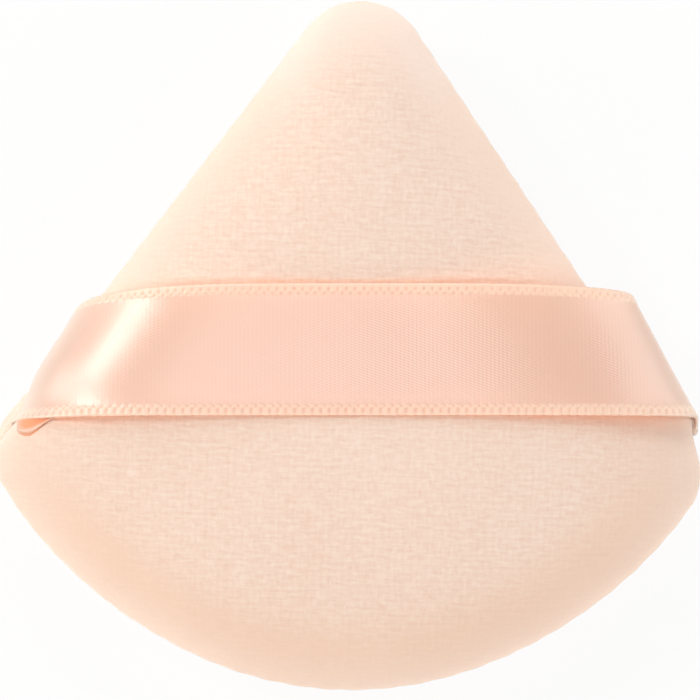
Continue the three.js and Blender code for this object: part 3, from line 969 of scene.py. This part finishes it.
def foam_material():
    """Open-cell foam with fine pores."""
    n = Nodes(bpy.data.materials.new("foam"))
    place = n.add("ShaderNodeTexCoord").outputs["Object"]
    pores = n.add("ShaderNodeTexVoronoi", {"Vector": place, "Scale": 1400.0}).outputs["Distance"]
    colour = n.mix(n.ramp(pores, 0.1, 0.6), FOAM_PORE, FOAM_WALL)
    n.put(n.shader, {"Base Color": colour, "Roughness": 0.95})
    n.bump(pores, strength=0.6, distance=0.3 * MM)
    return n.owner


def thread_material():
    """Spun thread with its twist."""
    n = Nodes(bpy.data.materials.new("thread"))
    place = n.add("ShaderNodeTexCoord").outputs["Object"]
    inputs = {"Vector": place, "Scale": 900.0, "Distortion": 1.5}
    twist = n.add("ShaderNodeTexWave", inputs).outputs["Fac"]
    colour = n.mix(twist, THREAD_DEEP, THREAD_PALE)
    n.put(n.shader, {"Base Color": colour, "Roughness": 0.7})
    n.bump(twist, strength=0.5, distance=0.1 * MM)
    return n.owner


# Pieces

velour = velour_material()
front = velour_panel("velour_front", FRONT_CELLS, FRONT_HEIGHT, 0, True, velour)
back = velour_panel("velour_back", BACK_CELLS, BACK_HEIGHT, REST_FLAT, False, velour)
for panel, node in ((front, "front_panel"), (back, "back_panel")):
    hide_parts(node)
    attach(panel, "puff")

columns = ribbon_columns()
ribbon_middle, ribbon_run, ribbon_lengths = ribbon_surface(columns)
ribbon_length = ribbon_lengths.max()
satin = satin_material("satin", ribbon_length, SATIN_SHEER, SATIN_GLOW)
underside = satin_material("satin_underside", ribbon_length, UNDERSIDE_SHEER, UNDERSIDE_GLOW)
ribbon = satin_ribbon("satin_ribbon", columns, ribbon_middle, ribbon_run, ribbon_length, satin, underside)
fold_with_painted_glow = ribbon_fold("ribbon_fold", ribbon_length, (front, back), satin)
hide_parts("ribbon_strap", "left_ribbon_end", "right_ribbon_end")
for piece in (ribbon, fold_with_painted_glow):
    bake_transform(piece)

thread = thread_material()
inner_materials = {"foam_core": foam_material()}
for node in ("needle_thread", "bobbin_thread", "closing_thread"):
    inner_materials[node] = thread
for node, material in inner_materials.items():
    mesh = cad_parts[node].data
    mesh.materials.clear()
    mesh.materials.append(material)

# Floor, light and camera. The floor and the lamps are in metres.

FLOOR_HALF = 3
FLOOR_Z = -0.1 * MM
FLOOR_GREY = (0.97, 0.97, 0.97, 1)
FLOOR_WHITE = 0.9
SKY_EDGE = 0.24
SKY_TOP = 0.18
SKY_TOP_FROM = 0.7
WARM = (1.0, 0.955, 0.90)
COOLER = (0.955, 0.97, 0.965)
LAMPS = (
    ("key", (-0.84, 0.46, 0.80), 0.34, 4.5, WARM),
    ("overhead", (-0.16, -0.24, 2.0), 0.72, 5.25, WARM),
    ("left_fill", (-1.10, 0.0, 0.28), 0.80, 5.6, WARM),
    ("right_fill", (1.10, 0.0, 0.46), 1.10, 6.8, COOLER),
    ("front_fill", (0.0, -1.10, 0.32), 0.80, 6.2, WARM),
    ("back_fill", (0.0, 1.10, 0.50), 0.80, 6.8, COOLER),
)
VIEW_WIDTH = 81.13
VIEW_DISTANCE = 750.0
VIEW_CENTRE = (-0.1, -0.7)
VIEW_TURN = math.radians(1.955)
SENSOR_WIDTH = 36


def floor_material():
    """Pale floor that is nearly white to the camera and keeps the shadow."""
    n = Nodes(bpy.data.materials.new("floor"))
    n.put(n.shader, {"Base Color": FLOOR_GREY, "Roughness": 1.0, "Specular IOR Level": 0.0})
    glow = n.add("ShaderNodeEmission")
    n.blend_surface(n.math("MULTIPLY", n.background_rays(), FLOOR_WHITE), glow)
    return n.owner


def studio_world():
    """White to the camera, with a soft even light on the object, a little stronger from low down."""
    n = Nodes(bpy.data.worlds.new("studio"))
    direction = n.add("ShaderNodeTexCoord").outputs["Generated"]
    up = n.add("ShaderNodeSeparateXYZ", {0: direction}).outputs["Z"]
    levels = {
        "Value": up,
        "From Min": 0.0,
        "From Max": SKY_TOP_FROM,
        "To Min": SKY_EDGE,
        "To Max": SKY_TOP,
    }
    sky = n.add("ShaderNodeMapRange", levels, interpolation_type="SMOOTHSTEP").outputs[0]
    strength = n.add("ShaderNodeMix", {"Factor": n.background_rays(), "A": sky, "B": 1.0})
    background = {"Color": (1, 1, 1, 1), "Strength": strength.outputs["Result"]}
    n.put(n.tree.nodes["Background"], background)
    return n.owner


def soft_box(name, position, size, power, colour):
    """A square lamp that faces the puff: place and size in metres, power in watts."""
    lamp = bpy.data.lights.new(name, "AREA")
    lamp.size = size
    lamp.energy = power
    lamp.color = colour
    holder = bpy.data.objects.new(name, lamp)
    holder.location = position
    aim = Vector((0, 0, SEAM_Z * MM)) - Vector(position)
    holder.rotation_mode = "QUATERNION"
    holder.rotation_quaternion = aim.to_track_quat("-Z", "Y")
    bpy.context.collection.objects.link(holder)


floor_mesh = bpy.data.meshes.new("floor")
floor_corners = [(x * FLOOR_HALF, y * FLOOR_HALF, 0) for x, y in ((-1, -1), (1, -1), (1, 1), (-1, 1))]
floor_mesh.from_pydata(floor_corners, [], [(0, 1, 2, 3)])
floor_mesh.materials.append(floor_material())
floor = bpy.data.objects.new("floor", floor_mesh)
bpy.context.collection.objects.link(floor)
floor.location.z = FLOOR_Z

bpy.context.scene.world = studio_world()
for lamp in LAMPS:
    soft_box(*lamp)

camera_data = bpy.data.cameras.new("camera")
camera = bpy.data.objects.new("camera", camera_data)
bpy.context.collection.objects.link(camera)
bpy.context.scene.camera = camera
camera_data.sensor_width = SENSOR_WIDTH
camera_data.lens = SENSOR_WIDTH * VIEW_DISTANCE / VIEW_WIDTH
camera.location = (VIEW_CENTRE[0] * MM, VIEW_CENTRE[1] * MM, (SEAM_Z + VIEW_DISTANCE) * MM)
camera.rotation_euler = (0, 0, VIEW_TURN)

bpy.context.scene.view_settings.view_transform = "Standard"
